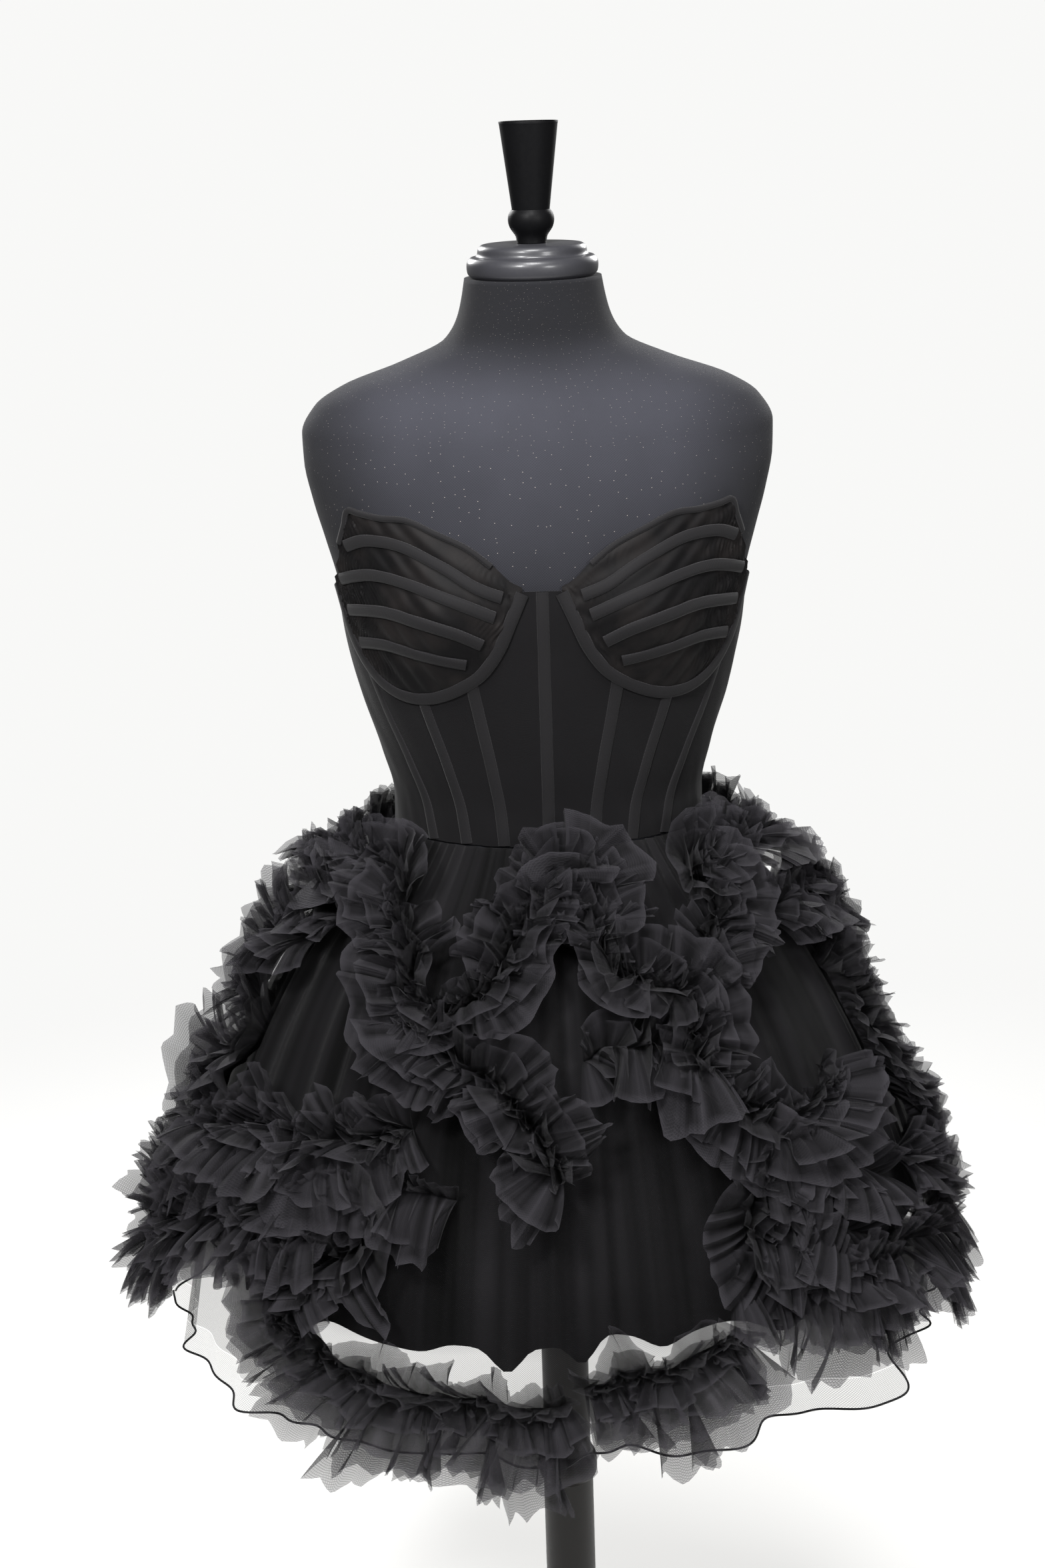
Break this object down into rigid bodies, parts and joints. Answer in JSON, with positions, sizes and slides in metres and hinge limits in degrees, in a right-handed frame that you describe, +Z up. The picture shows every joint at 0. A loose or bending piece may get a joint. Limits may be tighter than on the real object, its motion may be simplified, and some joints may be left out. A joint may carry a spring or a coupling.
{
  "type": "mini dress on a dress form",
  "caption": "Strapless boned corset mini dress with a gathered net skirt and meandering net ruffles, worn on a limbless dress form on a round pole stand.",
  "frame": {"origin": "centre of the stand base's underside, on the floor", "axes": "+Z up along the pole, the dress faces -Y, +X to the viewer's right when the dress is seen from the front"},
  "size_m": [0.7574, 0.692, 1.582],
  "materials": {
    "form_jersey": "matt knitted jersey over a hard shell",
    "turned_black": "satin black lacquer",
    "stand_black": "satin black paint",
    "bodice_mesh": "matt black mesh in two layers",
    "cup_mesh": "gathered black mesh over a soft cup",
    "channel_tape": "matt black twill tape",
    "skirt_net": "soft black net",
    "underskirt_cloth": "matt black underskirt cloth",
    "stiff_hem_braid": "stiff open black braid",
    "ruffle_net": "crisp black net, gathered"
  },
  "bodies": {
    "root": {"bodice_back_left": "bodice_mesh", "bodice_back_right": "bodice_mesh", "bodice_back_side_left": "bodice_mesh", "bodice_back_side_right": "bodice_mesh", "bodice_front_centre_left": "bodice_mesh", "bodice_front_centre_right": "bodice_mesh", "bodice_front_inner_left": "bodice_mesh", "bodice_front_inner_right": "bodice_mesh", "bodice_front_outer_left": "bodice_mesh", "bodice_front_outer_right": "bodice_mesh", "bodice_underarm_left": "bodice_mesh", "bodice_underarm_right": "bodice_mesh", "bone_back_left": "channel_tape", "bone_back_right": "channel_tape", "bone_centre": "channel_tape", "bone_inner_left": "channel_tape", "bone_inner_right": "channel_tape", "bone_outer_left": "channel_tape", "bone_outer_right": "channel_tape", "bone_side_left": "channel_tape", "bone_side_right": "channel_tape", "cup_channel_1_left": "channel_tape", "cup_channel_1_right": "channel_tape", "cup_channel_2_left": "channel_tape", "cup_channel_2_right": "channel_tape", "cup_channel_3_left": "channel_tape", "cup_channel_3_right": "channel_tape", "cup_channel_4_left": "channel_tape", "cup_channel_4_right": "channel_tape", "cup_left": "cup_mesh", "cup_right": "cup_mesh", "dress_form": "form_jersey", "finial": "turned_black", "hem_braid_back": "stiff_hem_braid", "hem_braid_front": "stiff_hem_braid", "neck_cap": "turned_black", "neckline_edge_left": "channel_tape", "neckline_edge_right": "channel_tape", "ruffle_back_left": "ruffle_net", "ruffle_back_low": "ruffle_net", "ruffle_back_right": "ruffle_net", "ruffle_back_top": "ruffle_net", "ruffle_centre": "ruffle_net", "ruffle_hem_right": "ruffle_net", "ruffle_low_left": "ruffle_net", "ruffle_low_right": "ruffle_net", "ruffle_side_left": "ruffle_net", "ruffle_side_right": "ruffle_net", "ruffle_waist_left": "ruffle_net", "ruffle_waist_right": "ruffle_net", "skirt_back_left": "skirt_net", "skirt_back_right": "skirt_net", "skirt_front": "skirt_net", "stand_base": "stand_black", "stand_pole": "stand_black", "underskirt_back": "underskirt_cloth", "underskirt_front": "underskirt_cloth", "underwire_channel_left": "channel_tape", "underwire_channel_right": "channel_tape"}
  },
  "joints": []
}
